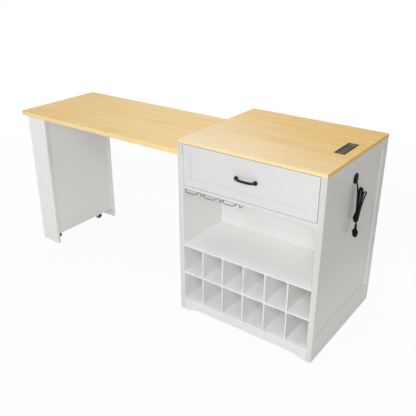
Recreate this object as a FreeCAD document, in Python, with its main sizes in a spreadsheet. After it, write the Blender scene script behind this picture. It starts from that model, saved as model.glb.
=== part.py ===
import FreeCAD, Part

import math
import os
import re

# Extendable bar table: a white cabinet with a drawer, an open niche and a bottle rack, and a
# long wooden leaf on a rolling leg that slides into the cabinet's left side.
# X runs along the leaf, towards the cabinet; Y runs from the drawer to the back; Z is up.
# The origin is on the floor, in the middle of the extended table.

Vector = FreeCAD.Vector

# Driving dimensions in millimetres; counts and angles say so in their names.
SIZES = {
    # cabinet shell
    "cabinet_width": 734,
    "cabinet_depth": 640,
    "cabinet_height": 900,
    "top_thick": 15,
    "side_thick": 18,
    "frame_thick": 9,
    "stile_width": 44,
    "top_rail": 33,
    "bottom_rail": 103,
    "bevel_width": 18,
    "bevel_shallow": 11,
    "bevel_start": 1.5,
    "bevel_knee": 4,
    "back_thick": 12,
    "plinth_thick": 15,
    "edge_ease": 0.8,
    # bracket feet of the plinth
    "foot_width": 50,
    "arch_rise": 17.5,
    "arch_run": 65,
    # niche and bottle rack
    "base_top": 67.5,
    "board_thick": 15,
    "niche_depth": 317,
    "inner_back": 9,
    "niche_floor": 374.5,
    "shelf_thick": 8,
    "bottle_shelf_top": 222,
    "divider_thick": 8,
    "column_count": 6,
    "deck_under": 669,
    # leaf and its guides
    "leaf_reach": 1177,
    "leaf_inside": 105,
    "leaf_depth": 546,
    "leaf_top_height": 827.5,
    "leaf_thick": 25,
    "slot_gap": 4.5,
    "guide_width": 50,
    "guide_thick": 19,
    "guide_fence": 16,
    "guide_gap": 1.5,
    "guide_lift": 0.3,
    "stop_width": 20,
    "stop_margin": 43,
    # leg and casters
    "leg_end_inset": 16,
    "leg_side_inset": 27,
    "leg_width": 134,
    "leg_board": 16,
    "leg_lift": 8,
    "leg_panel": 15,
    "leg_panel_inset": 10,
    "leg_panel_lift": 62,
    "caster_middle": 311,
    "caster_setback": 12,
    "caster_spread": 346,
    "wheel_dia": 50,
    "wheel_width": 18,
    "hub_dia": 35,
    "axle_dia": 6,
    "axle_clearance": 0.05,
    "bracket_thick": 2,
    "bracket_length": 60,
    "bracket_width": 48,
    "cheek_length": 26,
    "cheek_gap": 1.5,
    "screw_dia": 3.8,
    "screw_head_dia": 6.6,
    "screw_length": 14,
    # drawer
    "drawer_gap": 2.5,
    "drawer_front_thick": 18,
    "drawer_frame": 42,
    "drawer_recess": 2.5,
    "drawer_depth": 350,
    "drawer_side": 12,
    "drawer_side_height": 78,
    "drawer_lift": 7,
    "drawer_floor": 5,
    "slide_width": 12.7,
    "slide_height": 45,
    "slide_sheet": 1.2,
    "handle_span": 96,
    "handle_reach": 24,
    "handle_height": 787,
    "handle_band": 12,
    "handle_thick": 7,
    "rosette_dia": 20,
    "rosette_thick": 5,
    "handle_screw_dia": 4,
    # stemware rack
    "lane_count": 3,
    "lane_pitch": 105,
    "lane_start": 38,
    "hook_width": 52,
    "stem_slot": 33.5,
    "rack_front": 8,
    "rack_depth": 238,
    "rack_drop": 22,
    "wire_dia": 4.5,
    "wire_bend": 6,
    "strip_width": 14,
    "strip_thick": 1.5,
    # power strip
    "power_centre_x": 665.5,
    "power_centre_y": 322,
    "bezel_width": 48,
    "bezel_length": 150,
    "bezel_thick": 2.5,
    "bezel_border": 6,
    "housing_inset": 3,
    "housing_depth": 50,
    "insert_sink": 1,
    "insert_gap": 0.5,
    "insert_rise": 1.8,
    "insert_parting": 1.2,
    "outlet_pitch": 12.7,
    "outlet_width": 2.8,
    "outlet_length": 8.5,
    "earth_dia": 6,
    "earth_drop": 7,
    "port_width": 14,
    "port_height": 6.5,
    "port_pitch": 13,
    # grommet, lead, hank and plug
    "grommet_y": 310,
    "grommet_height": 783,
    "grommet_dia": 48,
    "grommet_flange": 4,
    "barrel_dia": 38,
    "cord_dia": 6.2,
    "sleeve_dia": 10,
    "hank_pitch": 7.2,
    "hank_fold": 6.4,
    "plug_width": 21.5,
    "plug_length": 36,
    "plug_thick": 17,
    "blade_length": 17,
}

doc = FreeCAD.newDocument("bar_table")
sheet = doc.addObject("Spreadsheet::Sheet", "dims")
for row, (alias, number) in enumerate(SIZES.items(), start=1):
    sheet.set(f"A{row}", str(number))
    sheet.setAlias(f"A{row}", alias)
doc.recompute()


def size(alias):
    """Return a driving dimension as the sheet holds it."""
    return float(sheet.get(alias))


def bound(text):
    """Return an expression whose dimension names refer to the sheet."""
    return re.sub(r"[a-z_]+", lambda word: f"dims.{word[0]}" if word[0] in SIZES else word[0], text)


# Places measured from the cabinet's front left foot, as expressions of the driving dimensions.
CABINET_X = "(leaf_reach - cabinet_width) / 2"
FRONT_Y = "(handle_reach - cabinet_depth) / 2"
UNDER_TOP = "(cabinet_height - top_thick)"
WALL = "(frame_thick + side_thick)"
INNER_WIDTH = "(cabinet_width - 2 * (frame_thick + side_thick))"
RIGHT_WALL = "(cabinet_width - frame_thick - side_thick)"
BACK_FACE = "(cabinet_depth - back_thick)"
LEAF_UNDER = "(leaf_top_height - leaf_thick)"
LEAF_FRONT = "((cabinet_depth - leaf_depth) / 2)"
SLOT_LOW = "(leaf_top_height - leaf_thick - slot_gap)"
SLOT_HIGH = "(leaf_top_height + slot_gap)"
LEG_LEFT = "(leg_end_inset - leaf_reach)"
LEG_FRONT = "((cabinet_depth - leaf_depth) / 2 + leg_side_inset)"
LEG_DEPTH = "(leaf_depth - 2 * leg_side_inset)"
DRAWER_LOW = "(deck_under + board_thick)"
COLUMN = f"(({INNER_WIDTH} - (column_count - 1) * divider_thick) / column_count)"

cabinet_x = (size("leaf_reach") - size("cabinet_width")) / 2
front_y = (size("handle_reach") - size("cabinet_depth")) / 2


def at(x, y, z):
    """Return a point given from the cabinet's front left foot in the table's frame."""
    return Vector(cabinet_x + x, front_y + y, z)


def box(label, x, y, z):
    """Add a block; x, y and z are each a start and an extent, as expressions."""
    block = doc.addObject("Part::Box", label)
    for axis, origin, (start, extent) in zip("xyz", (CABINET_X, FRONT_Y, "0"), (x, y, z)):
        block.setExpression(f"Placement.Base.{axis}", bound(f"{origin} + {start}"))
        side = {"x": "Length", "y": "Width", "z": "Height"}[axis]
        block.setExpression(side, bound(extent))
    return block


def eased(label, block, ease="edge_ease"):
    """Add a block's copy with all its edges broken."""
    doc.recompute()
    chamfer = doc.addObject("Part::Chamfer", label)
    chamfer.Base = block
    width = size(ease)
    chamfer.Edges = [(edge, width, width) for edge in range(1, len(block.Shape.Edges) + 1)]
    return chamfer


def board(label, x, y, z):
    """Add a board with eased edges."""
    return eased(label, box(f"{label}_blank", x, y, z))


TURNS = {
    "x": FreeCAD.Rotation(Vector(0, 1, 0), 90),
    "y": FreeCAD.Rotation(Vector(1, 0, 0), -90),
    "z": FreeCAD.Rotation(),
}


def rod(label, axis, x, y, z, radius, length):
    """Add a cylinder that starts at x, y, z and runs along an axis."""
    cylinder = doc.addObject("Part::Cylinder", label)
    cylinder.Placement.Rotation = TURNS[axis]
    for name, origin, start in zip("xyz", (CABINET_X, FRONT_Y, "0"), (x, y, z)):
        cylinder.setExpression(f"Placement.Base.{name}", bound(f"{origin} + {start}"))
    cylinder.setExpression("Radius", bound(radius))
    cylinder.setExpression("Height", bound(length))
    return cylinder


def joined(label, pieces):
    """Add the union of several pieces."""
    union = doc.addObject("Part::MultiFuse", label)
    union.Shapes = pieces
    return union


def cut(label, base, tools):
    """Add a piece less the tools that cut it."""
    result = doc.addObject("Part::Cut", label)
    result.Base = base
    result.Tool = tools[0] if len(tools) == 1 else joined(f"{label}_tools", tools)
    return result


def group(label, pieces):
    """Add separate solids as one node."""
    compound = doc.addObject("Part::Compound", label)
    compound.Links = pieces
    return compound


def solid(label, shape, place=None):
    """Add a ready shape as a node of its own."""
    feature = doc.addObject("Part::Feature", label)
    feature.Shape = shape
    feature.Placement = place or FreeCAD.Placement()
    return feature


def arc_towards(start, direction, end):
    """Return an arc that leaves start along a direction and passes through end."""
    chord = end - start
    along = direction.dot(chord) / chord.Length
    swing = math.acos(max(-1.0, min(1.0, along)))
    if swing < 1e-5:
        return Part.LineSegment(start, end).toShape()
    side = direction - chord * (direction.dot(chord) / chord.dot(chord))
    side.normalize()
    crown = start + chord * 0.5 + side * (chord.Length / 2 * math.tan(swing / 2))
    return Part.Arc(start, crown, end).toShape()


def reversed_arc(start, direction, end):
    """Return an arc from start that arrives at end along a direction."""
    edge = arc_towards(end, direction * -1, start)
    if edge.Curve.TypeId == "Part::GeomLine":
        return Part.LineSegment(start, end).toShape()
    middle = edge.valueAt((edge.FirstParameter + edge.LastParameter) / 2)
    return Part.Arc(start, middle, end).toShape()


def biarc(start, leaving, end, arriving):
    """Return two arcs that join two points and their directions smoothly."""
    span = end - start
    spread = 1 - leaving.dot(arriving)
    reach = span.dot(leaving + arriving)
    if spread < 1e-9:
        handle = span.dot(span) / (4 * span.dot(arriving))
    else:
        handle = (math.sqrt(reach * reach + 2 * spread * span.dot(span)) - reach) / (2 * spread)
    middle = (start + end + (leaving - arriving) * handle) * 0.5
    return [arc_towards(start, leaving, middle), reversed_arc(middle, arriving, end)]


def rounded_route(points, tangents):
    """Return straight runs joined by tangent arcs, and the arcs' radii.

    tangents gives, for each inner point, how far from it its arc begins and ends.
    """
    edges = []
    radii = []
    here = points[0]
    for before, corner, after, tangent in zip(points, points[1:], points[2:], tangents):
        arriving = (corner - before).normalize()
        leaving = (after - corner).normalize()
        half_turn = arriving.getAngle(leaving) / 2
        first = corner - arriving * tangent
        last = corner + leaving * tangent
        edges.append(Part.LineSegment(here, first).toShape())
        edges.append(arc_towards(first, arriving, last))
        radii.append(tangent / math.tan(half_turn))
        here = last
    edges.append(Part.LineSegment(here, points[-1]).toShape())
    return edges, radii


def tube(edges, radius):
    """Return a round bar along a chain of edges."""
    route = Part.Wire(edges)
    first = edges[0]
    begin = first.FirstParameter
    section = Part.Circle(first.valueAt(begin), first.tangentAt(begin), radius)
    shell = Part.BRepOffsetAPI.MakePipeShell(route)
    shell.add(Part.Wire(section.toShape()), False, False)
    shell.build()
    shell.makeSolid()
    bar = shell.shape()
    expected = math.pi * radius ** 2 * route.Length
    if abs(bar.Volume - expected) > 0.01 * expected:
        raise ValueError(f"a tube holds {bar.Volume:.0f} mm3 where {expected:.0f} was expected")
    return bar


def cord_tube(name, points):
    """Return a cord along a route whose arcs are as large as its runs allow."""
    runs = [(after - before).Length for before, after in zip(points, points[1:])]
    tangents = [0.45 * min(pair) for pair in zip(runs, runs[1:])]
    edges, radii = rounded_route(points, tangents)
    print(f"{name}: bend radii", ", ".join(f"{radius:.1f}" for radius in radii), "mm,",
          f"length {Part.Wire(edges).Length:.1f} mm")
    return tube(edges, size("cord_dia") / 2)


def panel_opening(side, stile, low, high):
    """Add the opening of a side's frame: a shallow and a steep slope that widen it outwards."""
    face, turn = ("cabinet_width - frame_thick", -90) if side == "right" else ("frame_thick", 90)
    base = (f"{CABINET_X} + {face}", f"{FRONT_Y} + cabinet_depth / 2", "0")
    slopes = []
    for name, near, near_wide, far, far_wide in (
            ("shallow", "bevel_start", "0", "bevel_knee", "bevel_shallow"),
            ("steep", "bevel_knee", "bevel_shallow", "frame_thick", "bevel_width")):
        slope = doc.addObject("Part::Wedge", f"{side}_{name}_slope")
        slope.Placement.Rotation = FreeCAD.Rotation(Vector(0, 0, 1), turn)
        for axis, place in zip("xyz", base):
            slope.setExpression(f"Placement.Base.{axis}", bound(place))
        slope.setExpression("Ymin", bound(near))
        slope.setExpression("Ymax", bound(far))
        for end, wide in (("", near_wide), ("2", far_wide)):
            half = f"(cabinet_depth / 2 - {stile} + {wide})"
            slope.setExpression(f"X{end}min", bound(f"-{half}"))
            slope.setExpression(f"X{end}max", bound(half))
            slope.setExpression(f"Z{end}min", bound(f"{low} - {wide}"))
            slope.setExpression(f"Z{end}max", bound(f"{high} + {wide}"))
        slopes.append(slope)
    return slopes


def side_frame(side, outer_x, stile, rails, opening):
    """Add an applied frame, bevelled towards its panel: two stiles and the named rails.

    Each rail is a start height and a height; opening gives the panel's lowest and highest edge.
    """
    thickness = (outer_x, "frame_thick")
    slopes = panel_opening(side, stile, *opening)
    boards = {
        "front_stile": (("0", stile), ("0", UNDER_TOP)),
        "rear_stile": ((f"cabinet_depth - {stile}", stile), ("0", UNDER_TOP)),
    }
    for name, height in rails.items():
        boards[f"{name}_rail"] = ((stile, f"cabinet_depth - 2 * {stile}"), height)
    return [cut(f"{side}_{name}", board(f"{side}_{name}_eased", thickness, depth, height), slopes)
            for name, (depth, height) in boards.items()]


def make_shell():
    """The worktop, sides, back, floor and plinth."""
    full_depth = ("0", "cabinet_depth")
    across = (WALL, INNER_WIDTH)
    top = eased("main_top_board", box("main_top_blank", ("0", "cabinet_width"), full_depth,
                                      (UNDER_TOP, "top_thick")))
    window = box("power_window", ("power_centre_x - bezel_width / 2 + housing_inset - insert_gap",
                                  "bezel_width - 2 * (housing_inset - insert_gap)"),
                 ("power_centre_y - bezel_length / 2 + housing_inset - insert_gap",
                  "bezel_length - 2 * (housing_inset - insert_gap)"),
                 (UNDER_TOP, "top_thick"))
    nodes = [cut("main_top", top, [window])]

    right = eased("right_side_eased", box("right_side_blank", (RIGHT_WALL, "side_thick"),
                                          full_depth, ("0", UNDER_TOP)))
    bore = rod("grommet_bore", "x", RIGHT_WALL, "grommet_y", "grommet_height", "barrel_dia / 2 + 0.1",
               "side_thick")
    nodes.append(cut("right_side_board", right, [bore]))
    base_rail = "(bottom_rail + bevel_width)"
    head_rail = "(top_rail + bevel_width)"
    nodes += side_frame("right", "cabinet_width - frame_thick", "(stile_width + bevel_width)", {
        "top": (f"{UNDER_TOP} - {head_rail}", head_rail),
        "bottom": ("0", base_rail),
    }, (base_rail, f"({UNDER_TOP} - {head_rail})"))

    left = eased("left_side_eased", box("left_side_blank", ("frame_thick", "side_thick"), full_depth,
                                        ("0", SLOT_HIGH)))
    notch = box("leaf_notch", ("frame_thick", "side_thick"),
                ("stile_width", "cabinet_depth - 2 * stile_width"), (SLOT_LOW, "leaf_thick + 2 * slot_gap"))
    nodes.append(cut("left_side_board", left, [notch]))
    nodes.append(board("left_header", ("frame_thick", "side_thick"), full_depth,
                       (SLOT_HIGH, f"{UNDER_TOP} - {SLOT_HIGH}")))
    nodes += side_frame("left", "0", "stile_width", {
        "top": (SLOT_HIGH, f"{UNDER_TOP} - {SLOT_HIGH}"),
        "middle": (f"{SLOT_LOW} - {head_rail}", head_rail),
        "bottom": ("0", base_rail),
    }, (base_rail, f"({SLOT_LOW} - {head_rail})"))

    nodes.append(board("back_board", across, (BACK_FACE, "back_thick"), ("0", UNDER_TOP)))
    nodes.append(box("bottom_board", across, ("plinth_thick", f"{BACK_FACE} - plinth_thick"),
                     ("base_top - board_thick", "board_thick")))
    nodes.append(make_plinth(across))
    return nodes


def make_plinth(across):
    """The front plinth, cut away between its bracket feet by a flat arch."""
    blank = eased("plinth_eased", box("plinth_blank", across, ("0", "plinth_thick"), ("0", "base_top")))
    bend = "((arch_run * arch_run + arch_rise * arch_rise) / (2 * arch_rise))"
    spring = "(foot_width + arch_run)"
    opening = [box("arch_middle", (spring, f"cabinet_width - 2 * {spring}"), ("0", "plinth_thick"),
                   ("0", "arch_rise"))]
    for name, centre in (("left", spring), ("right", f"cabinet_width - {spring}")):
        opening.append(rod(f"arch_{name}", "y", centre, "0", f"arch_rise - {bend}", bend, "plinth_thick"))
    return cut("front_plinth", blank, opening)


def make_rack():
    """The niche, its back and ceiling, and the bottle rack with its halved boards."""
    across = (WALL, INNER_WIDTH)
    deep = ("0", "niche_depth")
    half = "niche_depth / 2"
    under_shelf = "niche_floor - shelf_thick"
    shelf_low = "bottle_shelf_top - shelf_thick"
    nodes = [
        box("inner_back", across, ("niche_depth", "inner_back"), ("base_top", "deck_under - base_top")),
        board("niche_shelf", across, deep, (under_shelf, "shelf_thick")),
        board("drawer_deck", across, ("0", BACK_FACE), ("deck_under", "board_thick")),
    ]
    slots = []
    for number in range(1, int(size("column_count"))):
        left = f"{WALL} + {number} * {COLUMN} + {number - 1} * divider_thick"
        thick = (left, "divider_thick")
        slots.append(box(f"shelf_slot_{number}", thick, ("0", half), (shelf_low, "shelf_thick")))
        blank = eased(f"divider_eased_{number}", box(f"divider_blank_{number}", thick, deep,
                                                     ("base_top", f"{under_shelf} - base_top")))
        lap = box(f"divider_slot_{number}", thick, (half, half), (shelf_low, "shelf_thick"))
        nodes.append(cut(f"bottle_divider_{number}", blank, [lap]))
    shelf = eased("bottle_shelf_eased", box("bottle_shelf_blank", across, deep, (shelf_low, "shelf_thick")))
    nodes.append(cut("bottle_shelf", shelf, slots))
    return nodes


def make_stemware_rack():
    """Three lanes of bent wire under the deck, each a hooked rail and a plain rail, on two strips."""
    radius = size("wire_dia") / 2
    bend = size("wire_bend")
    front = size("rack_front")
    rear = front + size("rack_depth")
    ceiling = size("deck_under")
    fixing = ceiling - size("strip_thick") / 2
    rail = ceiling - size("rack_drop")
    pieces = []
    first = size("lane_start")
    for lane in range(int(size("lane_count"))):
        hook = first + lane * size("lane_pitch")
        left = hook + size("hook_width")
        right = left + size("stem_slot")
        hooked = [at(hook, front, fixing), at(hook, front, rail), at(left, front, rail),
                  at(left, rear, rail), at(left, rear, fixing)]
        plain = [at(right, front, fixing), at(right, front, rail), at(right, rear, rail),
                 at(right, rear, fixing)]
        for points in (hooked, plain):
            edges, _ = rounded_route(points, [bend] * (len(points) - 2))
            pieces.append(tube(edges, radius))
    width = size("strip_width")
    length = right - first + width
    for place in (front, rear):
        corner = at(first - width / 2, place - width / 2, ceiling - size("strip_thick"))
        pieces.append(Part.makeBox(length, width, size("strip_thick"), corner))
    rack = pieces[0].multiFuse(pieces[1:]).removeSplitter()
    return solid("stemware_rack", rack)


def channel(label, wall_x, mouth, centre_z, reach, height, start_y, length):
    """Add a steel C section along Y; mouth is +1 where it opens towards +X."""
    sheet_metal = "slide_sheet"
    reach, height = f"({reach})", f"({height})"
    low_x = wall_x if mouth > 0 else f"({wall_x} - {reach})"
    low_z = f"{centre_z} - {height} / 2"
    outside = box(f"{label}_outside", (low_x, reach), (start_y, length), (low_z, height))
    gap_x = f"{low_x} + {sheet_metal}" if mouth > 0 else low_x
    inside = box(f"{label}_inside", (gap_x, f"{reach} - {sheet_metal}"), (start_y, length),
                 (f"{low_z} + {sheet_metal}", f"{height} - 2 * {sheet_metal}"))
    return cut(label, outside, [inside])


def make_slides():
    """Three nested members of each drawer slide: cabinet, middle and drawer members."""
    centre = f"({DRAWER_LOW} + drawer_lift + drawer_side_height / 2)"
    start = "drawer_front_thick + 4"
    length = "drawer_depth - 8"
    outer, middle, inner = [], [], []
    for side, wall, sign in (("left", WALL, 1), ("right", RIGHT_WALL, -1)):
        step = "+" if sign > 0 else "-"
        outer.append(channel(f"outer_{side}", wall, sign, centre, "slide_width - 3.2", "slide_height",
                             start, length))
        middle.append(channel(f"middle_{side}", f"{wall} {step} 3", sign, centre, "slide_width - 5.7",
                              "slide_height - 6", start, length))
        inner.append(channel(f"inner_{side}", f"{wall} {step} slide_width", -sign, centre,
                             "slide_width - 5.5", "slide_height - 13", start, length))
    return [group("slide_outer", outer), group("slide_middle", middle), group("slide_inner", inner)]


def make_drawer():
    """The drawer front with its shallow panel, the box behind it, the handle and its screws."""
    gap = "drawer_gap"
    low = f"({DRAWER_LOW} + drawer_gap)"
    left = f"({WALL} + drawer_gap)"
    width = f"({INNER_WIDTH} - 2 * drawer_gap)"
    tall = f"({UNDER_TOP} - {DRAWER_LOW} - 2 * {gap})"
    front = eased("drawer_front_eased", box("drawer_front_blank", (left, width),
                                            ("0", "drawer_front_thick"), (low, tall)))
    panel = box("drawer_panel_recess", (f"{left} + drawer_frame", f"{width} - 2 * drawer_frame"),
                ("0", "drawer_recess"), (f"{low} + drawer_frame", f"{tall} - 2 * drawer_frame + 6"))
    holes = [panel]
    screws = []
    for side, sign in (("left", "-"), ("right", "+")):
        x = f"cabinet_width / 2 {sign} handle_span / 2"
        holes.append(rod(f"handle_hole_{side}", "y", x, "0", "handle_height", "handle_screw_dia / 2 + 0.3",
                         "drawer_front_thick"))
        shank = rod(f"handle_shank_{side}", "y", x, "-6", "handle_height", "handle_screw_dia / 2",
                    "drawer_front_thick + 6")
        head = rod(f"handle_head_{side}", "y", x, "drawer_front_thick", "handle_height",
                   "handle_screw_dia", "2.5")
        screws.append(joined(f"handle_screw_{side}", [shank, head]))
    nodes = [cut("drawer_front", front, holes), group("handle_screws", screws)]

    box_left = f"({WALL} + slide_width)"
    box_width = f"({INNER_WIDTH} - 2 * slide_width)"
    box_low = f"({DRAWER_LOW} + drawer_lift)"
    deep = ("drawer_front_thick", "drawer_depth")
    tall_side = (box_low, "drawer_side_height")
    inside = (f"{box_left} + drawer_side", f"{box_width} - 2 * drawer_side")
    right_x = f"{box_left} + {box_width} - drawer_side"
    back_y = "drawer_front_thick + drawer_depth - drawer_side"
    nodes += [
        board("drawer_left_side", (box_left, "drawer_side"), deep, tall_side),
        board("drawer_right_side", (right_x, "drawer_side"), deep, tall_side),
        board("drawer_back", inside, (back_y, "drawer_side"), tall_side),
        box("drawer_bottom", inside, ("drawer_front_thick", "drawer_depth - drawer_side"),
            (f"{box_low} + 6", "drawer_floor")),
        make_handle(),
    ]
    return nodes


def make_handle():
    """A bow pull: an oval band that rises steeply from two round rosettes to a gently bent grip."""
    half = size("handle_span") / 2
    middle = size("cabinet_width") / 2
    height = size("handle_height")
    band_y = size("handle_thick") / 2 - size("handle_reach")
    rise = -size("rosette_thick") / 2 - band_y
    steep, flat = math.radians(70), math.radians(10)
    along = (math.sin(steep) - math.sin(flat), math.sin(flat))
    out = (math.cos(flat) - math.cos(steep), 1 - math.cos(flat))
    end_bend = (half * out[1] - rise * along[1]) / (along[0] * out[1] - along[1] * out[0])
    grip_bend = (half - along[0] * end_bend) / along[1]
    upright = Vector(0, 0, 1)
    on_edge = FreeCAD.Rotation(upright, Vector(0, 1, 0), Vector(-1, 0, 0), "XYZ")

    def arm(x, y, bend, start, swing):
        """Return a stretch of the band, bent about an upright line at x and y."""
        oval = Part.Ellipse(Vector(), size("handle_band") / 2, size("handle_thick") / 2).toShape()
        section = Part.Face(Part.Wire([oval]))
        pivot = at(x, y, height)
        section.Placement = FreeCAD.Placement(pivot - Vector(0, bend, 0), on_edge)
        section.rotate(pivot, upright, math.degrees(start))
        return section.revolve(pivot, upright, math.degrees(swing))

    apart = (grip_bend - end_bend) * math.sin(flat)
    end_y = band_y + grip_bend - (grip_bend - end_bend) * math.cos(flat)
    pieces = [
        arm(middle, band_y + grip_bend, grip_bend, -flat, 2 * flat),
        arm(middle - apart, end_y, end_bend, -steep, steep - flat),
        arm(middle + apart, end_y, end_bend, flat, steep - flat),
    ]
    holes = []
    toward_room = Vector(0, -1, 0)
    ball = size("handle_band") / 2 + 0.8
    for x, turn in ((middle - half, 180), (middle + half, 0)):
        seat = at(x, 0, height)
        rosette = Part.makeCylinder(size("rosette_dia") / 2, size("rosette_thick"), seat, toward_room)
        centre = seat + toward_room * (ball + 0.4)
        knob = Part.makeSphere(ball, centre)
        knob.rotate(centre, upright, turn)
        pieces += [rosette.makeFillet(1.2, [rosette.Edges[0]]), knob]
        holes.append(Part.makeCylinder(size("handle_screw_dia") / 2 + 0.05, 6.2, seat, toward_room))
    handle = pieces[0].multiFuse(pieces[1:])
    for hole in holes:
        handle = handle.cut(hole)
    return solid("drawer_handle", handle.removeSplitter())


def make_leaf():
    """The leaf, its stop bar, and the leg with its panels."""
    nodes = [
        board("leaf_top", ("-leaf_reach", "leaf_reach + leaf_inside"), (LEAF_FRONT, "leaf_depth"),
              (LEAF_UNDER, "leaf_thick")),
        box("leaf_stop", (f"{WALL} + 0.5", "stop_width"),
            (f"{LEAF_FRONT} + stop_margin", "leaf_depth - 2 * stop_margin"),
            (f"{LEAF_UNDER} - guide_thick", "guide_thick")),
    ]
    leg_width = (LEG_LEFT, "leg_width")
    leg_tall = ("leg_lift", f"{LEAF_UNDER} - leg_lift")
    between = (f"{LEG_FRONT} + leg_board", f"{LEG_DEPTH} - 2 * leg_board")
    panel_tall = ("leg_panel_lift", f"{LEAF_UNDER} - leg_panel_lift")
    rear_y = f"{LEG_FRONT} + {LEG_DEPTH} - leg_board"
    nodes += [
        board("leg_front_board", leg_width, (LEG_FRONT, "leg_board"), leg_tall),
        board("leg_rear_board", leg_width, (rear_y, "leg_board"), leg_tall),
        board("leg_outer_panel", (f"{LEG_LEFT} + leg_panel_inset", "leg_panel"), between, panel_tall),
        board("leg_inner_panel", (f"{LEG_LEFT} + leg_width - leg_panel_inset - leg_panel", "leg_panel"),
              between, panel_tall),
    ]
    return nodes


def make_guides():
    """Two wooden guides across the cabinet that carry the leaf's long edges."""
    nodes = []
    low = f"({LEAF_UNDER} - guide_lift - guide_thick)"
    across = (WALL, INNER_WIDTH)
    fence_front = f"({LEAF_FRONT} - guide_gap - guide_fence)"
    fence_rear = f"(cabinet_depth - {LEAF_FRONT} + guide_gap)"
    for side, start, fence in (("front", fence_front, fence_front),
                               ("rear", f"({fence_rear} + guide_fence - guide_width)", fence_rear)):
        ledge = box(f"guide_ledge_{side}", across, (start, "guide_width"), (low, "guide_thick"))
        edge = box(f"guide_edge_{side}", across, (fence, "guide_fence"), (low, "guide_thick + 14"))
        nodes.append(joined(f"leaf_guide_{side}", [ledge, edge]))
    return nodes


def make_casters():
    """Two fixed casters under the leg: brackets, riveted axles, screws, and wheels of hub and tyre."""
    middle_x = f"({LEG_LEFT} + leg_width / 2 - caster_setback)"
    plate_low = "(leg_panel_lift - bracket_thick)"
    cheek = "(wheel_width / 2 + cheek_gap)"
    board_start = f"{LEG_LEFT} + leg_panel_inset + leg_panel"
    blank = box("caster_board_blank", (board_start, "leg_width - 2 * (leg_panel_inset + leg_panel)"),
                (f"{LEG_FRONT} + leg_board", f"{LEG_DEPTH} - 2 * leg_board"),
                ("leg_panel_lift", "leg_panel"))
    cheek_tall = ("wheel_dia / 2 - 9", f"{plate_low} - wheel_dia / 2 + 9")
    brackets, axles, screws, pilots, wheels = [], [], [], [], []
    for side, sign in (("front", "-"), ("rear", "+")):
        y = f"(caster_middle {sign} caster_spread / 2)"
        body = [box(f"plate_{side}", (f"{middle_x} - bracket_length / 2", "bracket_length"),
                    (f"{y} - bracket_width / 2", "bracket_width"), (plate_low, "bracket_thick"))]
        for face, start in (("a", f"{y} - {cheek} - bracket_thick"), ("b", f"{y} + {cheek}")):
            body.append(box(f"cheek_{side}_{face}", (f"{middle_x} - cheek_length / 2", "cheek_length"),
                            (start, "bracket_thick"), cheek_tall))
        holes = [rod(f"axle_hole_{side}", "y", middle_x, f"{y} - {cheek} - bracket_thick", "wheel_dia / 2",
                     "axle_dia / 2 + 0.1", f"2 * ({cheek} + bracket_thick)")]
        for corner, (along, across) in enumerate((a, b) for a in "+-" for b in "+-"):
            x = f"{middle_x} {along} (bracket_length / 2 - 6)"
            screw_y = f"{y} {across} (bracket_width / 2 - 6)"
            name = f"{side}_{corner}"
            holes.append(rod(f"plate_hole_{name}", "z", x, screw_y, plate_low, "screw_dia / 2 + 0.2",
                             "bracket_thick"))
            pilots.append(rod(f"pilot_{name}", "z", x, screw_y, "leg_panel_lift", "screw_dia / 2 + 0.1",
                              "screw_length"))
            shank = rod(f"screw_shank_{name}", "z", x, screw_y, f"{plate_low} - 1", "screw_dia / 2",
                        "screw_length")
            head = rod(f"screw_head_{name}", "z", x, screw_y, f"{plate_low} - 2", "screw_head_dia / 2",
                       "2")
            screws.append(joined(f"caster_screw_{name}", [shank, head]))
        brackets.append(cut(f"bracket_{side}", joined(f"bracket_body_{side}", body), holes))
        outer = f"({cheek} + bracket_thick)"
        pin = rod(f"pin_{side}", "y", middle_x, f"{y} - {outer} - 1", "wheel_dia / 2", "axle_dia / 2",
                  f"2 * {outer} + 2")
        heads = [rod(f"rivet_{side}_{end}", "y", middle_x, start, "wheel_dia / 2", "axle_dia / 2 + 2", "2")
                 for end, start in (("a", f"{y} - {outer} - 2"), ("b", f"{y} + {outer}"))]
        axles.append(joined(f"axle_{side}", [pin] + heads))
        wheels += make_wheel(side, middle_x, y)
    return [
        cut("caster_board", blank, pilots),
        group("caster_brackets", brackets),
        group("caster_axles", axles),
        group("caster_screws", screws),
    ] + wheels


def make_wheel(side, x, y):
    """A grey hub with a dished web and a black tyre with rounded shoulders."""
    near = f"{y} - wheel_width / 2"
    height = "wheel_dia / 2"
    core = rod(f"hub_core_{side}", "y", x, near, height, "hub_dia / 2", "wheel_width")
    bore = rod(f"hub_bore_{side}", "y", x, near, height, "axle_dia / 2 + axle_clearance", "wheel_width")
    tools = [bore]
    for face, start in (("a", near), ("b", f"{y} + wheel_width / 2 - 5")):
        dish = rod(f"hub_dish_{side}_{face}", "y", x, start, height, "hub_dia / 2 - 3", "5")
        boss = rod(f"hub_boss_{side}_{face}", "y", x, start, height, "axle_dia / 2 + 4", "5")
        tools.append(cut(f"hub_ring_{side}_{face}", dish, [boss]))
    blank = rod(f"tyre_blank_{side}", "y", x, near, height, "wheel_dia / 2", "wheel_width")
    inside = rod(f"tyre_inside_{side}", "y", x, near, height, "hub_dia / 2", "wheel_width")
    ring = cut(f"tyre_ring_{side}", blank, [inside])
    doc.recompute()
    tyre = doc.addObject("Part::Fillet", f"{side}_tyre")
    tyre.Base = ring
    rim = size("wheel_dia") / 2
    shoulder = [number for number, edge in enumerate(ring.Shape.Edges, start=1)
                if isinstance(edge.Curve, Part.Circle) and abs(edge.Curve.Radius - rim) < 0.01]
    tyre.Edges = [(number, 3, 3) for number in shoulder]
    return [cut(f"{side}_hub", core, tools), tyre]


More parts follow.
